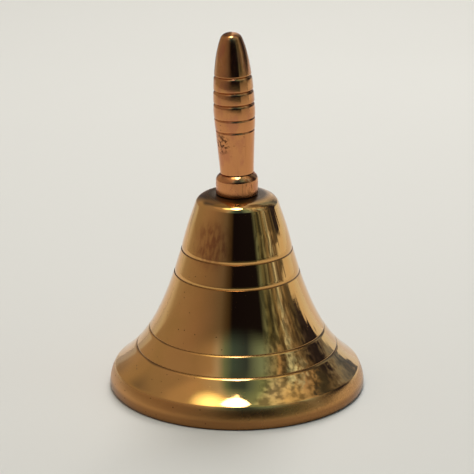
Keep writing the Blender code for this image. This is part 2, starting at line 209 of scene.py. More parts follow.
# Leaves on the right: the angles they start and stop at, how they dim and brighten the room, and
# how far they make its edges waver
LEAVES_START = (radians(34), radians(48))
LEAVES_STOP = (radians(118), radians(104))
LEAVES_SHADES = (0.5, 1.55)
EDGES_START = (radians(60), radians(80))
EDGES_WAVER = radians(4)

# The room's light at rising heights, as (degrees from the camera's side, red, green, blue)
BOARD_EDGE = (
    (-180, 0.28, 0.27, 0.28), (-170, 0.62, 0.66, 0.62), (-128, 0.64, 0.68, 0.64), (-116, 0.40, 0.38, 0.32),
    (-90, 0.36, 0.31, 0.27), (-60, 0.27, 0.22, 0.21), (-30, 0.17, 0.16, 0.15), (-17, 0.08, 0.085, 0.08),
    (-9, 0.065, 0.085, 0.07), (38, 0.065, 0.085, 0.07), (48, 0.14, 0.15, 0.14), (66, 0.24, 0.24, 0.22),
    (84, 0.20, 0.20, 0.18), (89, 0.24, 0.24, 0.22), (94, 0.75, 0.80, 0.78), (110, 0.80, 0.80, 0.76),
    (130, 0.80, 0.90, 0.90), (160, 0.74, 0.80, 0.80), (172, 0.40, 0.40, 0.40), (180, 0.28, 0.27, 0.28),
)
LOW_ROOM = (
    (-180, 0.24, 0.20, 0.16), (-165, 0.40, 0.34, 0.26), (-140, 0.42, 0.36, 0.28), (-114, 0.37, 0.33, 0.27),
    (-90, 0.36, 0.31, 0.27), (-66, 0.32, 0.26, 0.23), (-45, 0.25, 0.21, 0.20), (-27, 0.17, 0.16, 0.16),
    (-18, 0.09, 0.08, 0.07), (-13, 0.06, 0.05, 0.04), (-8, 0.008, 0.007, 0.014), (38, 0.010, 0.010, 0.018),
    (45, 0.13, 0.20, 0.20), (51, 0.12, 0.15, 0.12), (56, 0.07, 0.09, 0.08), (61, 0.22, 0.28, 0.26),
    (66, 0.14, 0.14, 0.11), (71, 0.28, 0.29, 0.25), (75, 0.50, 0.68, 0.80), (80, 0.34, 0.36, 0.36),
    (86, 0.18, 0.17, 0.15), (93, 0.12, 0.12, 0.12), (98, 0.12, 0.13, 0.14), (103, 0.04, 0.04, 0.06),
    (121, 0.02, 0.02, 0.04), (127, 0.20, 0.22, 0.26), (132, 0.30, 0.36, 0.42), (138, 0.20, 0.26, 0.36),
    (144, 0.08, 0.12, 0.20), (180, 0.07, 0.08, 0.12),
)
HIGH_ROOM = (
    (-180, 0.30, 0.25, 0.20), (-138, 0.36, 0.30, 0.24), (-114, 0.36, 0.32, 0.28), (-60, 0.36, 0.31, 0.27),
    (-38, 0.44, 0.38, 0.33), (-29, 0.50, 0.53, 0.60), (-18, 0.18, 0.32, 0.34), (-6, 0.06, 0.14, 0.22),
    (14, 0.04, 0.08, 0.14), (24, 0.14, 0.26, 0.32), (36, 0.24, 0.44, 0.50), (48, 0.22, 0.30, 0.32),
    (57, 0.26, 0.30, 0.27), (61, 0.52, 0.46, 0.38), (65, 0.20, 0.20, 0.19), (70, 0.10, 0.10, 0.09),
    (75, 0.42, 0.60, 0.70), (82, 0.58, 0.80, 0.90), (87, 0.24, 0.22, 0.16), (92, 0.42, 0.56, 0.66),
    (97, 0.34, 0.32, 0.30), (105, 0.36, 0.33, 0.28), (109, 0.08, 0.09, 0.10), (120, 0.05, 0.06, 0.07),
    (126, 0.14, 0.14, 0.14), (132, 0.34, 0.42, 0.50), (142, 0.18, 0.28, 0.38), (180, 0.10, 0.10, 0.13),
)
TOP_ROOM = (
    (-180, 0.34, 0.28, 0.20), (-126, 0.30, 0.25, 0.20), (-102, 0.52, 0.44, 0.38), (-60, 0.54, 0.46, 0.37),
    (-30, 0.52, 0.56, 0.58), (-18, 0.16, 0.30, 0.30), (-8, 0.06, 0.12, 0.18), (12, 0.05, 0.10, 0.15),
    (26, 0.14, 0.26, 0.30), (42, 0.24, 0.42, 0.36), (60, 0.50, 0.62, 0.66), (90, 0.58, 0.58, 0.46),
    (106, 0.42, 0.42, 0.38), (116, 0.22, 0.20, 0.19), (150, 0.14, 0.12, 0.10), (180, 0.18, 0.17, 0.14),
)
CEILING = (
    (-180, 0.30, 0.27, 0.22), (-112, 0.44, 0.40, 0.34), (-84, 0.80, 0.70, 0.58), (-40, 0.95, 0.95, 0.90),
    (-14, 0.30, 0.46, 0.46), (14, 0.14, 0.28, 0.30), (40, 0.26, 0.44, 0.40), (60, 0.50, 0.64, 0.58),
    (90, 0.46, 0.56, 0.50), (112, 0.24, 0.24, 0.22), (180, 0.22, 0.21, 0.19),
)

# The rings above the lowest, with the degrees up between which each takes over
UPPER_RINGS = ((HIGH_ROOM, 25, 37), (TOP_ROOM, 48, 56), (CEILING, 64, 74))


# ---------------------------------------------------------------- outlines, as (radius, height)

def bend(start, start_slope, end, end_slope, shape):
    """A cubic curve that falls from start to end, shaped by its handles' reach and its steps."""
    chord = hypot(end[0] - start[0], end[1] - start[1])
    near, far, steps = shape[0] * chord, shape[1] * chord, shape[2]
    handles = (
        start,
        (start[0] + near * cos(start_slope), start[1] - near * sin(start_slope)),
        (end[0] - far * cos(end_slope), end[1] + far * sin(end_slope)),
        end,
    )
    points = []
    for step in range(steps + 1):
        t = step / steps
        weights = ((1 - t) ** 3, 3 * t * (1 - t) ** 2, 3 * t * t * (1 - t), t ** 3)
        points.append(tuple(sum(w * p[i] for w, p in zip(weights, handles)) for i in (0, 1)))
    return points


def quarter_turn(steps):
    """Angles from 0 to a right angle."""
    return [radians(90 * step / steps) for step in range(steps + 1)]


def radius_at(curve, height):
    """The radius of a falling curve at a height on it."""
    for (r0, z0), (r1, z1) in zip(curve, curve[1:]):
        if z1 <= height <= z0 and z0 != z1:
            return r0 + (r1 - r0) * (height - z0) / (z1 - z0)
    return curve[-1][0] if height < curve[-1][1] else curve[0][0]


def offset_inward(points, wall):
    """Points moved square to their outline, towards the inside, by wall(share along it)."""
    moved = []
    last = len(points) - 1
    for index, (radius, height) in enumerate(points):
        r0, z0 = points[max(index - 1, 0)]
        r1, z1 = points[min(index + 1, last)]
        direction = atan2(z1 - z0, r1 - r0)
        thickness = wall(index / last)
        moved.append((radius + thickness * sin(direction), height - thickness * cos(direction)))
    return moved


def rounded(outline, reach, closed=True):
    """An outline with its corners eased, from reach before them to reach after; open ends stay."""
    eased = []
    for before, corner, after in zip(outline[-1:] + outline[:-1], outline, outline[1:] + outline[:1]):
        sides = []
        for other in (before, after):
            share = reach / hypot(other[0] - corner[0], other[1] - corner[1])
            sides.append(tuple(c + (o - c) * share for c, o in zip(corner, other)))
        middle = tuple((a + 2 * c + b) / 4 for a, c, b in zip(sides[0], corner, sides[1]))
        eased.append([sides[0], middle, sides[1]])
    if not closed:
        eased[0], eased[-1] = outline[:1], outline[-1:]
    return [point for corner in eased for point in corner]


def cut_at(distance, cut):
    """How deep a turned cut is, at a distance above or below its bottom."""
    depth, above, upper_curve, below, lower_curve = cut
    reach, curve = (above, upper_curve) if distance > 0 else (below, lower_curve)
    return depth * max(1 - abs(distance) / reach, 0) ** curve


def bulge_at(height, top, bottom, bulge):
    """How far a barrelled band stands out at a height: all of its bulge half way down."""
    share = (top - height) / (top - bottom)
    return 4 * bulge * share * (1 - share) if 0 < share < 1 else 0.0


def turned(curve, cuts, bands, coarse, fine):
    """A falling curve with its cuts and barrelled bands: coarse steps, and fine ones in the cuts."""
    height, bottom = curve[0][1], curve[-1][1]
    heights = [height, bottom] + [middle for middle, _ in cuts]
    while height > bottom + fine:
        near = any(-below < height - middle < above + coarse for middle, (_, above, _, below, _) in cuts)
        height = max(height - (fine if near else coarse), bottom)
        if all(abs(height - taken) > HAIR for taken in heights):
            heights.append(height)
    points = []
    for height in sorted(heights, reverse=True):
        radius = radius_at(curve, height)
        radius -= sum(cut_at(height - middle, cut) for middle, cut in cuts)
        radius += sum(bulge_at(height, *band) for band in bands)
        points.append((radius, height))
    return points


def bell_outlines():
    """The polished outside, from the crown's hole to the mouth, and the dull inside back up."""
    crown_edge = (CROWN_EDGE_RADIUS, CROWN_HEIGHT - CROWN_EDGE_DROP)
    shoulder = (SHOULDER_RADIUS, SHOULDER_HEIGHT)
    flare_end = (MOUTH_RADIUS - LIP_WIDTH, LIP_HEIGHT)
    widest = (MOUTH_RADIUS, MOUTH_EDGE_RISE)
    taper = atan2(crown_edge[1] - shoulder[1], shoulder[0] - crown_edge[0])
    crown = bend((CROWN_SEAT_RADIUS, CROWN_HEIGHT), 0, crown_edge, taper, CROWN_BEND)
    cone = bend(crown_edge, taper, shoulder, taper, CONE_BEND)
    waist = bend(shoulder, WAIST_SLOPE, flare_end, FLARE_SLOPE, WAIST_BEND)
    lip_start = (flare_end[0] + FLARE_RUN * cos(FLARE_SLOPE), flare_end[1] - FLARE_RUN * sin(FLARE_SLOPE))
    lip = [flare_end] + bend(lip_start, FLARE_SLOPE, widest, pi / 2, LIP_BEND)
    mouth_edge = [(MOUTH_RADIUS - MOUTH_EDGE_INSET * (1 - cos(a)), MOUTH_EDGE_RISE * (1 - sin(a)))
                  for a in quarter_turn(8)[1:]]
    cuts = [(ring, WAIST_CUT) for ring in WAIST_RINGS] + [(ring, FLARE_CUT) for ring in FLARE_RINGS]
    bands = list(zip((SHOULDER_HEIGHT,) + WAIST_RINGS, WAIST_RINGS, WAIST_BAND_BULGES))
    seat = [(BORE_RADIUS, CROWN_HEIGHT), (CROWN_SEAT_RADIUS / 2, CROWN_HEIGHT)]
    outside = seat + crown + cone[1:-1] + turned(waist, cuts, bands, *BELL_STEPS)
    outside += lip[1:] + mouth_edge

    def wall(share):
        return WAIST_WALL + (SOUND_BOW_WALL - WAIST_WALL) * share ** 2

    inner_lip = offset_inward(lip[::EDGE_SKIP], lambda share: SOUND_BOW_WALL)[1:]
    inner_waist = offset_inward(waist[::WAIST_SKIP], wall)
    inner_crown = offset_inward(crown[::EDGE_SKIP], lambda share: CROWN_WALL + (WAIST_WALL - CROWN_WALL) * share)
    ceiling = CROWN_HEIGHT - CROWN_WALL
    inner_crown[0] = (inner_crown[0][0], ceiling)
    mouth = (inner_lip[-1][0] + MOUTH_EDGE_WIDTH, 0.0)
    inside = [mouth] + inner_lip[::-1] + inner_waist[::-1] + inner_crown[::-1] + [(BORE_RADIUS, ceiling)]
    return outside, inside


def grip_outline():
    """The grip from its nose down to its foot and up its bore, in heights above the foot."""
    tip = bend((0, GRIP_LENGTH), 0, GRIP_TIP_EDGE, GRIP_TIP_SLOPE, TIP_BEND)
    nose = bend(GRIP_TIP_EDGE, GRIP_TIP_SLOPE, GRIP_BELLY, pi / 2, NOSE_BEND)
    taper = bend(GRIP_BELLY, pi / 2, (GRIP_FOOT_RADIUS, 0), GRIP_FOOT_SLOPE, TAPER_BEND)
    cuts = [(height, WIDE_CUT) for height in WIDE_GROOVES] + [(height, FINE_CUT) for height in FINE_GROOVES]
    grooves = WIDE_GROOVES + FINE_GROOVES
    bands = [(upper, lower, GRIP_BAND_BULGE) for upper, lower in zip(grooves, grooves[1:])]
    side = turned(nose + taper[1:], cuts, bands, *GRIP_STEPS)
    foot = [(GRIP_FOOT_RADIUS, GRIP_FOOT_EDGE), (GRIP_FOOT_RADIUS - GRIP_FOOT_EDGE, 0)]
    bore = [(BORE_RADIUS, 0), (BORE_RADIUS, GRIP_BORE_DEPTH), (0, GRIP_BORE_DEPTH)]
    return tip[:-1] + [point for point in side if point[1] > GRIP_FOOT_EDGE] + foot + bore


# ---------------------------------------------------------------- meshes

def turn(outline, sides, closed=False, inner_from=None):
    """A turned mesh about Z; faces past outline point inner_from take the second material."""
    bm = bmesh.new()
    count = len(outline)
    rings = []
    for radius, height in outline:
        if radius < HAIR:
            rings.append([bm.verts.new((0, 0, height))])
            continue
        angles = (2 * pi * side / sides for side in range(sides))
        rings.append([bm.verts.new((radius * cos(a), radius * sin(a), height)) for a in angles])
    for index in range(count if closed else count - 1):
        upper, lower = rings[index], rings[(index + 1) % count]
        for side in range(sides):
            beyond = (side + 1) % sides
            if len(upper) == 1:
                corners = (upper[0], lower[side], lower[beyond])
            elif len(lower) == 1:
                corners = (upper[side], lower[0], upper[beyond])
            else:
                corners = (upper[side], lower[side], lower[beyond], upper[beyond])
            face = bm.faces.new(corners)
            face.material_index = int(inner_from is not None and index >= inner_from)
    return bm


def wire_loop(centre, bend_radius, straight, wire, across, steps, seam=0.0):
    """A closed loop of round wire, upright in the plane of Z and the direction across.

    A seam is the fine groove where the wire's two ends meet, half way up one side.
    """
    side, up = Vector(across), Vector((0, 0, 1))
    square = side.cross(up)
    places = []
    for half, shift in ((0, straight / 2), (1, -straight / 2)):
        for step in range(steps + (straight > 0)):
            angle = pi * (half + step / steps)
            outward = side * cos(angle) + up * sin(angle)
            places.append((centre + up * shift + outward * bend_radius, outward, wire))
    if seam:
        middle = centre + side * bend_radius
        places += [(middle + up * shift * seam, side, wire - seam * (shift == 0)) for shift in (-1, 0, 1)]
    bm = bmesh.new()
    rings = []
    for middle, outward, radius in places:
        turns = (2 * pi * facet / WIRE_SIDES for facet in range(WIRE_SIDES))
        rings.append([bm.verts.new(middle + (outward * cos(t) + square * sin(t)) * radius) for t in turns])
    for ring, following in zip(rings, rings[1:] + rings[:1]):
        for facet in range(WIRE_SIDES):
            beyond = (facet + 1) % WIRE_SIDES
            bm.faces.new((ring[facet], ring[beyond], following[beyond], following[facet]))
    return bm


def joined(first, second):
    """Two meshes as one piece."""
    mesh = bpy.data.meshes.new("joined")
    second.to_mesh(mesh)
    second.free()
    first.from_mesh(mesh)
    bpy.data.meshes.remove(mesh)
    return first


def warped(bm, rule):
    """A mesh with each of its points moved to where the rule puts it."""
    for vert in bm.verts:
        vert.co = rule(vert.co)
    return bm


def piece(name, bm, body, slot, node, *materials, sharp=40):
    """A finished mesh that rides on a body and stands for a CAD node."""
    bmesh.ops.recalc_face_normals(bm, faces=bm.faces)
    mesh = bpy.data.meshes.new(name)
    bm.to_mesh(mesh)
    bm.free()
    mesh.shade_smooth()
    mesh.set_sharp_from_angle(angle=radians(sharp))
    for finish in materials:
        mesh.materials.append(finish)
    made = bpy.data.objects.new(name, mesh)
    bpy.context.collection.objects.link(made)
    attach(made, body)
    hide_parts(node)


# ---------------------------------------------------------------- nodes and patterns, in mm

SMOOTH = {"interpolation_type": "SMOOTHSTEP"}
TINT = {"data_type": "RGBA", "output": 2}   # a Mix of two colours: its inputs are 0 for the share, 6 and 7


def hex_colour(code):
    """An sRGB hex colour as linear RGBA."""
    channels = [int(code[i:i + 2], 16) / 255 for i in (1, 3, 5)]
    return tuple(c / 12.92 if c <= 0.04045 else ((c + 0.055) / 1.055) ** 2.4 for c in channels) + (1.0,)


def adder(tree):
    """The function that adds a node to a tree, and returns one of its outputs.

    It takes the node's kind, its inputs in order or as one dict, each a value or an output to link
    from, and its settings.
    """
    def add(kind, *inputs, output=0, **settings):
        made = tree.nodes.new("ShaderNode" + kind)
        for name, value in settings.items():
            setattr(made, name, value)
        named = inputs[0] if inputs and isinstance(inputs[0], dict) else dict(enumerate(inputs))
        for key, value in named.items():
            if isinstance(value, bpy.types.NodeSocket):
                tree.links.new(value, made.inputs[key])
            else:
                made.inputs[key].default_value = value
        return made.outputs[output]
    return add


def region(add, *limits):
    """The share of a place that lies within soft limits, each as (value, its 0 end, its 1 end)."""
    share = 1.0
    for value, outside, inside in limits:
        share = add("Math", share, add("MapRange", value, outside, inside, **SMOOTH), operation="MULTIPLY")
    return share


def mottle(add, place, size, detail=3.0, stretch=(1.0, 1.0, 1.0)):
    """Noise in features of about a size; they are longer along an axis that stretch shrinks."""
    place = add("VectorMath", place, stretch, operation="MULTIPLY")
    return add("TexNoise", {"Vector": place, "Scale": 1 / size, "Detail": detail})


def patches(add, place, size, levels, values=(0.0, 1.0), **noise):
    """Soft patches: mottle between two of its levels, taken to two values."""
    return add("MapRange", mottle(add, place, size, **noise), *levels, *values, **SMOOTH)


def around_axis(add, place):
    """The distance from the axis, the distance towards +X and the height."""
    side, _, height = add("SeparateXYZ", place).node.outputs
    flat = add("VectorMath", place, (1.0, 1.0, 0.0), operation="MULTIPLY")
    return add("VectorMath", flat, operation="LENGTH", output="Value"), side, height


def along_profile(add, place, pitch, drift):
    """Turning marks: noise that changes along the profile every pitch, and slowly round it."""
    scaled = [add("Math", value, size, operation="DIVIDE")
              for value, size in zip(around_axis(add, place), (pitch, drift, pitch))]
    radius, side, height = scaled
    return add("TexNoise", {"Vector": add("CombineXYZ", side, radius, height), "Scale": 1.0, "Detail": 2.0})


def pits(add, place, spacing, size, share):
    """Small pits: 1 in a pit, 0 elsewhere; only a share of the cells have one."""
    cells = add("TexVoronoi", {"Vector": place, "Scale": 1 / spacing, "Randomness": 1.0}).node.outputs
    near = region(add, (cells["Distance"], size / spacing, 0.4 * size / spacing))
    chosen = add("Math", add("SeparateColor", cells["Color"]), share, operation="LESS_THAN")
    return add("Math", near, chosen, operation="MULTIPLY")


def near_heights(add, height, heights, reach):
    """1 at any of the heights, given in metres, falling to 0 at reach from them."""
    total = 0.0
    for middle in heights:
        away = add("Math", add("Math", height, middle / MM, operation="SUBTRACT"), operation="ABSOLUTE")
        total = add("Math", total, region(add, (away, reach, 0.3 * reach)), operation="MAXIMUM")
    return total


def near_point(add, place, point, reach):
    """1 round a point, falling to 0 at reach from it."""
    away = add("VectorMath", place, point, operation="DISTANCE", output="Value")
    return region(add, (away, reach, 0.35 * reach))


def stained(add, base, *stains):
    """A base colour with stains on it, each as (share, strength, colour)."""
    colour = hex_colour(base)
    for share, strength, stain in stains:
        share = add("Math", share, strength, operation="MULTIPLY")
        colour = add("Mix", {0: share, 6: colour, 7: hex_colour(stain)}, **TINT)
    return colour


def dulled(add, rough, *places):
    """A roughness with more in some places, each as (share, how much more)."""
    for share, more in places:
        rough = add("Math", share, more, rough, operation="MULTIPLY_ADD")
    return rough


# ---------------------------------------------------------------- materials

# Marks on the metal, as (place, reach) in mm
TARNISHED = ((-9.5, -16.5, 58.0), 11.0)     # high on the bell's left
STRUCK = ((36.5, 0.0, 11.5), 5.0)           # inside the bell, on both sides
SCRATCHED = ((3.8, -6.4, 75.6), 3.6)        # on the collar
EATEN = ((-5.6, -4.2, 91.5), 5.0)           # low on the grip's left
SPECKLED = ((-4.0, -5.0, 94.0), 10.0)       # and round that

# Where tones begin and are full, as heights or radii in mm
LIP_TONE = (8.4, 7.0)
# painted shade at the mouth edge: darker towards the rim, for the shadowed floor that the lip reflects
MOUTH_PAINTED_SHADE = (4.4, 2.6)
# the ring round the collar's foot: dirt and painted shade that darkens the collar's reflection in the crown
CROWN_GRIME_AND_SHADE = (71.0, 71.6)
COLLAR_GRIME_AND_SHADE = (12.8, 9.6)
LEFT_SIDE = (6.0, -14.0)
LOW_PART = (62.0, 44.0)
WARM_FOOT = (118.0, 94.0)
SATIN_COLLAR = (77.8, 77.2)


def metal(name, roughness):
    """A new metal, the function that adds its nodes and the place on the piece in mm.

    The plain roughness is what it has without its pattern.
    """
    made = bpy.data.materials.new(name)
    made.use_nodes = True
    shader = made.node_tree.nodes["Principled BSDF"]
    shader.inputs["Metallic"].default_value = 1.0
    shader.inputs["Roughness"].default_value = roughness
    add = adder(made.node_tree)
    place = add("VectorMath", {0: add("TexCoord", output="Object"), "Scale": 1 / MM}, operation="SCALE")
    return made, add, place


def surfaced(made, add, colour, rough, relief):
    """The metal with its colour, roughness and relief: (height, depth in mm) layers, one on another."""
    shader = made.node_tree.nodes["Principled BSDF"]
    normal = {}
    for height, depth in relief:
        normal = {"Normal": add("Bump", {"Height": height, "Strength": 1.0, "Distance": depth * MM, **normal})}
    for name, value in {"Base Color": colour, "Roughness": rough, **normal}.items():
        made.node_tree.links.new(value, shader.inputs[name])
    return made


def polished_bell_brass():
    """Cast yellow brass, turned and mirror polished. The eye finds fine turning marks, dark cast
    pits low on the left, dirt in the rings, a rubbed red-brown patch high on the left and a browner,
    softer lip. Round the collar's foot a near-black ring is partly dirt and partly painted shade, which
    dims the collar's reflection in the crown; the mouth edge is darkened with painted shade for the
    shadowed floor that the lip reflects."""
    made, add, place = metal("polished_bell_brass", 0.08)
    radius, side, height = around_axis(add, place)
    lip = region(add, (height, *LIP_TONE))
    # painted shade darkening the mouth edge, standing for the shadowed floor that the lip reflects
    foot = region(add, (height, *MOUTH_PAINTED_SHADE))
    # near-black round the collar's foot: partly dirt, partly painted shade over the collar's reflection in the crown
    grime_and_painted_shade = region(add, (height, *CROWN_GRIME_AND_SHADE), (radius, *COLLAR_GRIME_AND_SHADE))
    low_left = region(add, (side, *LEFT_SIDE), (height, *LOW_PART))
    ring_dirt = near_heights(add, height, WAIST_RINGS + FLARE_RINGS, 0.4)
    rubbed = patches(add, place, 1.3, (0.36, 0.66), (0.25, 1.0), detail=4.0, stretch=(1.0, 1.0, 0.22))
    tarnish = add("Math", near_point(add, place, *TARNISHED), rubbed, operation="MULTIPLY")
    cast = add("MapRange", low_left, 0.0, 1.0, 0.25, 1.0, **SMOOTH)
    pitted = add("Math", pits(add, place, 1.9, 0.3, 0.3), cast, operation="MULTIPLY")

    colour = stained(
        add, "#D8A562", (patches(add, place, 14.0, (0.35, 0.65)), 1.0, "#E0A967"), (lip, 1.0, "#C48F55"),
        (foot, 0.7, "#7C5434"), (tarnish, 0.7, "#8E5036"), (ring_dirt, 0.6, "#6A4524"),
        (grime_and_painted_shade, 0.85, "#241E18"), (pitted, 0.85, "#3A2412"))
    rough = dulled(
        add, patches(add, place, 6.0, (0.4, 0.8), (0.045, 0.09), detail=4.0), (low_left, 0.05),
        (lip, 0.22), (tarnish, 0.1), (ring_dirt, 0.15), (grime_and_painted_shade, 0.3), (pitted, 0.4))
    whole = add("Math", 1.0, pitted, operation="SUBTRACT")
    return surfaced(made, add, colour, rough, [(along_profile(add, place, 0.5, 9.0), 0.003), (whole, 0.02)])


def dull_inner_brass():
    """The bell's inside: cast brass left from the lathe tool, so its rings show, and browned by
    air, with a bright spot on each side where the clapper has struck."""
    made, add, place = metal("turned_dull_brass", 0.42)
    clouds = mottle(add, place, 9.0, detail=4.0)
    struck = near_point(add, add("VectorMath", place, operation="ABSOLUTE"), *STRUCK)
    colour = stained(add, "#9C7A45", (region(add, (clouds, 0.35, 0.7)), 1.0, "#6E522E"), (struck, 0.8, "#D8AE6A"))
    rough = dulled(add, add("MapRange", clouds, 0.3, 0.7, 0.34, 0.52, **SMOOTH), (struck, -0.16))
    return surfaced(made, add, colour, rough, [(along_profile(add, place, 0.8, 30.0), 0.03)])


def coppery_handle_brass():
    """Red brass, turned and hand polished: coppery with a faint blush, with upright polishing
    streaks, dark scratches on the collar and a patch of pitting low on the grip's left."""
    made, add, place = metal("polished_red_brass", 0.16)
    height = add("SeparateXYZ", place, output="Z")
    clouds = mottle(add, place, 6.0)
    streaks = mottle(add, place, 0.7, stretch=(1.0, 1.0, 0.06))
    blush = patches(add, place, 3.2, (0.48, 0.68), detail=4.0, stretch=(1.0, 1.0, 0.5))
    warm = region(add, (height, *WARM_FOOT))
    satin = region(add, (height, *SATIN_COLLAR))
    scratches = patches(add, place, 0.34, (0.54, 0.64), detail=2.0, stretch=(1.0, 1.0, 0.1))
    scratches = add("Math", scratches, near_point(add, place, *SCRATCHED), operation="MULTIPLY")
    eaten = add("Math", patches(add, place, 1.1, (0.5, 0.6), detail=4.0), near_point(add, place, *EATEN),
                operation="MULTIPLY")
    specks = add("Math", pits(add, place, 1.2, 0.24, 0.35), near_point(add, place, *SPECKLED),
                 operation="MULTIPLY")
    eaten = add("Math", eaten, specks, operation="MAXIMUM")

    colour = stained(
        add, "#CF945C", (region(add, (clouds, 0.3, 0.7)), 1.0, "#C58A58"), (warm, 0.7, "#D9925E"),
        (region(add, (streaks, 0.55, 0.75)), 0.3, "#A06038"), (blush, 0.45, "#B87058"),
        (scratches, 0.7, "#4A2C18"), (eaten, 0.85, "#3A2010"))
    rough = add("MapRange", clouds, 0.35, 0.75, 0.11, 0.19, **SMOOTH)
    rough = dulled(add, rough, (eaten, 0.35), (scratches, 0.2), (satin, 0.14))
    whole = add("Math", 1.0, eaten, operation="SUBTRACT")
    return surfaced(made, add, colour, rough, [(streaks, 0.005), (whole, 0.05)])


def turned_ball_brass():
    """Brass left as turned: fine rings, browned by air and dulled by striking."""
    made, add, place = metal("turned_ball_brass", 0.3)
    clouds = mottle(add, place, 5.0)
    colour = stained(add, "#B08C50", (region(add, (clouds, 0.35, 0.65)), 1.0, "#8A6836"))
    rough = add("MapRange", clouds, 0.3, 0.7, 0.22, 0.4, **SMOOTH)
    return surfaced(made, add, colour, rough, [(along_profile(add, place, 0.4, 20.0), 0.015)])


def zinc_plated_steel():
    """Bright zinc plate on steel wire and hardware: pale grey, slightly blotched and satin."""
    made, add, place = metal("zinc_plated_steel", 0.32)
    clouds = mottle(add, place, 2.0, detail=4.0)
    colour = stained(add, "#B9BBBD", (region(add, (clouds, 0.35, 0.7)), 1.0, "#8F9093"))
    rough = add("MapRange", clouds, 0.3, 0.7, 0.25, 0.42, **SMOOTH)
    return surfaced(made, add, colour, rough, [(mottle(add, place, 0.3), 0.01)])


# ---------------------------------------------------------------- pieces

def bell(outside_finish, inside_finish):
    """The bell itself, polished outside and dull inside."""
    outside, inside = bell_outlines()
    shell = turn(outside + inside, BELL_SIDES, closed=True, inner_from=len(outside))
    piece("bell_shell", shell, "bell", "bell_brass", "bell_body", outside_finish, inside_finish)


def collar(finish):
    """A turned ring with a sloped shoulder; its top slopes with the grip's foot."""
    top = COLLAR_FOOT + COLLAR_HEIGHT
    outer_end = (COLLAR_RADIUS, top - COLLAR_SHOULDER_DROP)
    inner_slope, outer_slope = COLLAR_SHOULDER_SLOPES
    shoulder = bend((GRIP_FOOT_RADIUS, top), inner_slope, outer_end, outer_slope, COLLAR_BEND)
    side = [(COLLAR_RADIUS, outer_end[1] - COLLAR_EDGE)]
    side += [(COLLAR_RADIUS - COLLAR_EDGE * (1 - cos(a)), COLLAR_FOOT + COLLAR_EDGE * (1 - sin(a)))
             for a in quarter_turn(4)]
    outline = [(BORE_RADIUS, top)] + shoulder + side + [(BORE_RADIUS, COLLAR_FOOT)]

    def sloped(point):
        share = (point.z - COLLAR_FOOT) / COLLAR_HEIGHT
        return point + Vector((0, 0, point.x * tan(GRIP_LEAN) * share))

    ring = warped(turn(outline, HANDLE_SIDES, closed=True), sloped)
    piece("collar_ring", ring, "bell", "handle_brass", "handle_collar", finish)


def grip(finish):
    """The grip leans, and its bore is upright."""
    lean = Matrix.Translation((0, 0, GRIP_FOOT)) @ Matrix.Rotation(-GRIP_LEAN, 4, "Y")

    def placed(point):
        if hypot(point.x, point.y) < BORE_RADIUS + HAIR and point.z < GRIP_BORE_DEPTH + HAIR:
            point = point + Vector((point.z * tan(GRIP_LEAN), 0, 0))
        return lean @ point

    turning = warped(turn(grip_outline(), HANDLE_SIDES), placed)
    piece("grip_turning", turning, "bell", "handle_brass", "handle_grip", finish)


def stud(finish):
    """A threaded rod that narrows into its eye."""
    eye = PIVOTS["link_swing"] + EYE_RING
    neck = eye + EYE_RING
    run_out = neck + EYE_NECK
    top = STUD_HIGH.z
    rows = round((top - STUD_CHAMFER - run_out) / THREAD_PITCH * THREAD_ROWS)
    fall = (top - STUD_CHAMFER - run_out) / rows
    outline = [(0, top), (STUD_RADIUS - STUD_CHAMFER, top)]
    outline += [(STUD_RADIUS, top - STUD_CHAMFER - row * fall) for row in range(rows + 1)]
    start_slope, end_slope = STUD_NECK_SLOPES
    narrowing = bend((STUD_RADIUS, run_out), start_slope, (NECK_RADIUS, neck), end_slope, STUD_NECK_BEND)
    outline += narrowing[1:]
    outline += [(0, neck)]

    def threaded(point):
        reach = hypot(point.x, point.y)
        fade = min((point.z - run_out) / THREAD_PITCH, (top - point.z) / STUD_CHAMFER, 1)
        if reach < STUD_RADIUS - HAIR or fade <= 0:
            return point
        phase = (point.z / THREAD_PITCH - atan2(point.y, point.x) / (2 * pi)) % 1
        depth = THREAD_DEPTH * min(max(THREAD_FLANK * abs(phase - 0.5) - THREAD_CREST, 0), 1) * fade
        scale = (reach - depth) / reach
        return Vector((point.x * scale, point.y * scale, point.z))

    rod = warped(turn(outline, ROD_SIDES), threaded)
    ring = wire_loop(Vector((0, 0, eye)), EYE_RING, 0, EYE_WIRE, (1, 0, 0), EYE_STEPS)
    piece("threaded_eye_stud", joined(rod, ring), "bell", "zinc_steel", "eye_stud", finish)


def washer(finish):
    """A plain washer with eased edges."""
    foot, top, radius = WASHER_LOW.z, WASHER_HIGH.z, WASHER_HIGH.x
    outline = [(BORE_RADIUS, top), (radius, top), (radius, foot), (BORE_RADIUS, foot)]
    disc = turn(rounded(outline, EDGE_ROUNDING), SMALL_SIDES, closed=True)
    piece("flat_washer", disc, "bell", "zinc_steel", "crown_washer", finish)


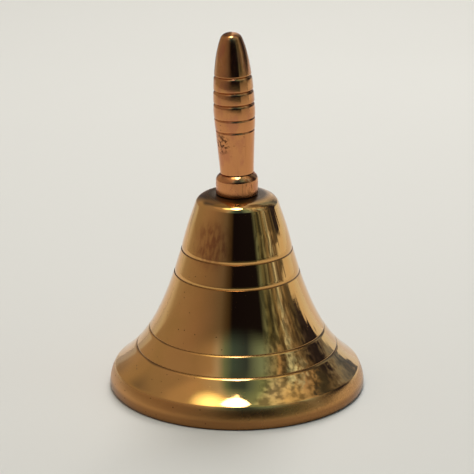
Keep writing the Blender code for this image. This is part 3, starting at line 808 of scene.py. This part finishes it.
def nut(finish):
    """A hexagon nut: chamfered on both faces, with its flats towards +X and -X."""
    foot, top, flat = NUT_LOW.z, NUT_HIGH.z, NUT_HIGH.x
    face = NUT_FACE_SHARE * flat
    corner = flat / cos(HALF_FLAT)
    sunk = NUT_BORE + NUT_COUNTERSINK
    outline = [(NUT_BORE, top - NUT_COUNTERSINK), (sunk, top), (face, top), (corner, top), (corner, foot),
               (face, foot), (sunk, foot), (NUT_BORE, foot + NUT_COUNTERSINK)]
    middle = (foot + top) / 2

    def hexagonal(point):
        reach = hypot(point.x, point.y)
        if reach < corner - HAIR:
            return point
        turned_by = (atan2(point.y, point.x) + HALF_FLAT) % (2 * HALF_FLAT) - HALF_FLAT
        wide = flat / cos(turned_by)
        drop = (wide - face) * tan(NUT_CHAMFER) * (1 if point.z > middle else -1)
        return Vector((point.x * wide / reach, point.y * wide / reach, point.z - drop))

    body = warped(turn(outline, NUT_SIDES, closed=True), hexagonal)
    piece("hexagon_nut", body, "bell", "zinc_steel", "lock_nut", finish, sharp=25)


def link(finish):
    """The wire link between the stud's eye and the clapper's."""
    middle = (LINK_LOW.z + LINK_HIGH.z) / 2
    straight = LINK_HIGH.z - LINK_LOW.z - 2 * (LINK_BEND_RADIUS + LINK_WIRE)
    loop = wire_loop(Vector((0, 0, middle)), LINK_BEND_RADIUS, straight, LINK_WIRE, (0, 1, 0), LINK_STEPS, LINK_SEAM)
    piece("wire_link", loop, "link", "zinc_steel", "clapper_link", finish)


def shank(finish):
    """The clapper's rod: eye, taper, shoulder ring, spigot through the ball and peened end."""
    eye = PIVOTS["clapper_swing"] + EYE_WIRE + LINK_WIRE + SEAT_GAP - EYE_RING
    neck = eye - EYE_RING
    ring_foot = BALL_HIGH.z + SEAT_GAP
    ring_radius, ring_height = SHOULDER_RING
    head_radius, head_height = PEENED_HEAD
    head_top = BALL_LOW.z - SEAT_GAP
    below = (SHANK_RADIUS, neck - EYE_NECK)
    rod = bend((NECK_RADIUS, neck), SHANK_NECK_SLOPE, below, pi / 2, SHANK_NECK_BEND)
    ring = [(SHANK_RADIUS, ring_foot + ring_height), (ring_radius, ring_foot + ring_height),
            (ring_radius, ring_foot), (SPIGOT_RADIUS, ring_foot)]
    head = [(head_radius * cos(a), head_top - head_height * sin(a)) for a in quarter_turn(8)[:-1]]
    outline = [(0, neck)] + rod + rounded(ring, EDGE_ROUNDING, closed=False)
    outline += [(SPIGOT_RADIUS, head_top)] + head + [(0, head_top - head_height)]
    loop = wire_loop(Vector((0, 0, eye)), EYE_RING, 0, EYE_WIRE, (1, 0, 0), EYE_STEPS)
    piece("clapper_rod", joined(turn(outline, ROD_SIDES), loop), "clapper", "zinc_steel", "clapper_shank", finish)


def ball(finish):
    """The striking ball, bored for the spigot and faced flat above and below."""
    radius, middle = BALL_HIGH.x, (BALL_LOW.z + BALL_HIGH.z) / 2
    start = pi / 2 - asin(BALL_FACE / radius)
    arc = [start - 2 * start * step / BALL_STEPS for step in range(BALL_STEPS + 1)]
    rounding = [(radius * cos(a), middle + radius * sin(a)) for a in arc]
    bore = SPIGOT_RADIUS + SEAT_GAP
    outline = [(bore, BALL_HIGH.z)] + rounding + [(bore, BALL_LOW.z)]
    bored = turn(outline, SMALL_SIDES, closed=True)
    piece("striking_ball", bored, "clapper", "clapper_brass", "clapper_ball", finish)


# ---------------------------------------------------------------- stage

def staged(name, bm):
    """A plain piece of the studio, which isn't part of the object, and its material's tree."""
    mesh = bpy.data.meshes.new(name)
    bm.to_mesh(mesh)
    bm.free()
    paint = bpy.data.materials.new(name)
    paint.use_nodes = True
    mesh.materials.append(paint)
    made = bpy.data.objects.new(name, mesh)
    bpy.context.collection.objects.link(made)
    return made, paint.node_tree


def floor():
    """A pale matt board."""
    disc = bmesh.new()
    bmesh.ops.create_circle(disc, cap_ends=True, radius=FLOOR_RADIUS, segments=FLOOR_SIDES)
    shader = staged("floor", disc)[1].nodes["Principled BSDF"]
    shader.inputs["Base Color"].default_value = hex_colour("#DCD8D2")
    shader.inputs["Roughness"].default_value = 0.9


def azimuth_of(add, place):
    """The angle round the room, 0 at the camera's side and rising towards +X, and the height."""
    x, y, height = add("SeparateXYZ", place).node.outputs
    return add("Math", x, add("Math", y, -1.0, operation="MULTIPLY"), operation="ARCTAN2"), height


def ring_of_colours(add, azimuth, stops):
    """Colours round the room from (degrees, red, green, blue) stops; 0 is the camera's side."""
    made = add("ValToRGB", add("Math", azimuth, 0.5 / pi, 0.5, operation="MULTIPLY_ADD"))
    band = made.node.color_ramp
    band.elements[0].position = 0.0
    band.elements[1].position = 1.0
    for degrees, *colour in stops:
        element = band.elements.new(0.5 + degrees / 360) if abs(degrees) < 180 else band.elements[degrees > 0]
        element.color = (*colour, 1)
    return made


def screen():
    """A low curved screen round the board, open on one side, which only the polished metal sees: it
    glows with the room's colours as a painted reflection, and takes the room's horizon down to the edge of the
    board."""
    bm = bmesh.new()
    start, end = SCREEN_GAP[1], SCREEN_GAP[0] + 2 * pi
    columns = []
    for step in range(SCREEN_STEPS + 1):
        angle = start + (end - start) * step / SCREEN_STEPS
        x, y = SCREEN_RADIUS * sin(angle), -SCREEN_RADIUS * cos(angle)
        columns.append([bm.verts.new((x, y, z)) for z in (0, SCREEN_HEIGHT)])
    for (low, high), (next_low, next_high) in zip(columns, columns[1:]):
        bm.faces.new((low, next_low, next_high, high))
    made, tree = staged("low_screen", bm)
    made.visible_camera = made.visible_diffuse = made.visible_shadow = False

    add = adder(tree)
    place = add("TexCoord", output="Object")
    azimuth, height = azimuth_of(add, place)
    waver = patches(add, place, 0.032, (0.35, 0.65), (-TREELINE_WAVER, TREELINE_WAVER), detail=5.0)
    height = add("Math", waver, region(add, (azimuth, *TREELINE_START)), height, operation="MULTIPLY_ADD")
    low, high = (ring_of_colours(add, azimuth, stops) for stops in (BOARD_EDGE, LOW_ROOM))
    colour = add("Mix", {0: region(add, (height, *TREELINE)), 6: low, 7: high}, **TINT)
    # the screen glows: its colours are a painted reflection for the metal, not a lamp
    tree.links.new(add("Emission", colour), tree.nodes["Material Output"].inputs["Surface"])


def lamps():
    """Soft light from above; the one behind is there for the board only."""
    for name, spot, size, power, seen_in_metal in LAMPS:
        lamp = bpy.data.lights.new(name, "AREA")
        lamp.shape = "ELLIPSE"
        lamp.size, lamp.size_y = size
        lamp.energy = power
        holder = bpy.data.objects.new(name, lamp)
        holder.location = spot
        holder.visible_glossy = seen_in_metal
        towards = Vector(LAMP_AIM) - Vector(spot)
        holder.rotation_euler = towards.to_track_quat("-Z", "Y").to_euler()
        bpy.context.collection.objects.link(holder)


def room():
    """Soft room light: a warm wall on the left, a leafy, cooler side on the right, a dark side in
    front and a pale ceiling."""
    world = bpy.data.worlds.new("room")
    bpy.context.scene.world = world
    world.use_nodes = True
    add = adder(world.node_tree)
    direction = add("TexCoord", output="Generated")
    azimuth, height = azimuth_of(add, direction)
    waver = patches(add, direction, 0.05, (0.35, 0.65), (-EDGES_WAVER, EDGES_WAVER), detail=4.0)
    azimuth = add("Math", waver, region(add, (azimuth, *EDGES_START)), azimuth, operation="MULTIPLY_ADD")
    shade = ring_of_colours(add, azimuth, LOW_ROOM)
    for stops, start, end in UPPER_RINGS:
        share = region(add, (height, sin(radians(start)), sin(radians(end))))
        shade = add("Mix", {0: share, 6: shade, 7: ring_of_colours(add, azimuth, stops)}, **TINT)

    outside = region(add, (azimuth, *LEAVES_START), (azimuth, *LEAVES_STOP))
    leaves = patches(add, direction, 0.08, (0.38, 0.64), LEAVES_SHADES, detail=5.0, stretch=(1.0, 1.0, 1.3))
    leaves = add("Mix", {0: outside, 2: 1.0, 3: leaves})
    shade = add("VectorMath", {0: shade, "Scale": leaves}, operation="SCALE")

    away = add("VectorMath", direction, GLOW_TOWARDS, operation="DISTANCE", output="Value")
    glow = add("MapRange", away, *GLOW_REACH, 0.0, GLOW_STRENGTH, **SMOOTH)
    glow = add("VectorMath", {0: GLOW_COLOUR, "Scale": glow}, operation="SCALE")
    shade = add("VectorMath", shade, glow, operation="MAXIMUM")
    world.node_tree.links.new(shade, world.node_tree.nodes["Background"].inputs["Color"])


def camera():
    """Looks down on the bell from the front with a long lens."""
    lens = bpy.data.cameras.new("camera")
    lens.lens = LENS_MM
    lens.sensor_width = SENSOR_MM
    lens.clip_end = CLIP_END
    holder = bpy.data.objects.new("camera", lens)
    away = Vector((0, -cos(CAMERA_ELEVATION), sin(CAMERA_ELEVATION)))
    holder.location = Vector((0, 0, AIM_HEIGHT)) + away * CAMERA_DISTANCE
    holder.rotation_euler = (-away).to_track_quat("-Z", "Y").to_euler()
    bpy.context.collection.objects.link(holder)
    bpy.context.scene.camera = holder


def main():
    """The camera, the stage and the nine pieces."""
    camera()
    floor()
    screen()
    lamps()
    room()
    bpy.context.scene.view_settings.view_transform = "Standard"
    red_brass, steel = coppery_handle_brass(), zinc_plated_steel()
    bell(polished_bell_brass(), dull_inner_brass())
    for make in (collar, grip):
        make(red_brass)
    for make in (stud, washer, nut, link, shank):
        make(steel)
    ball(turned_ball_brass())


main()
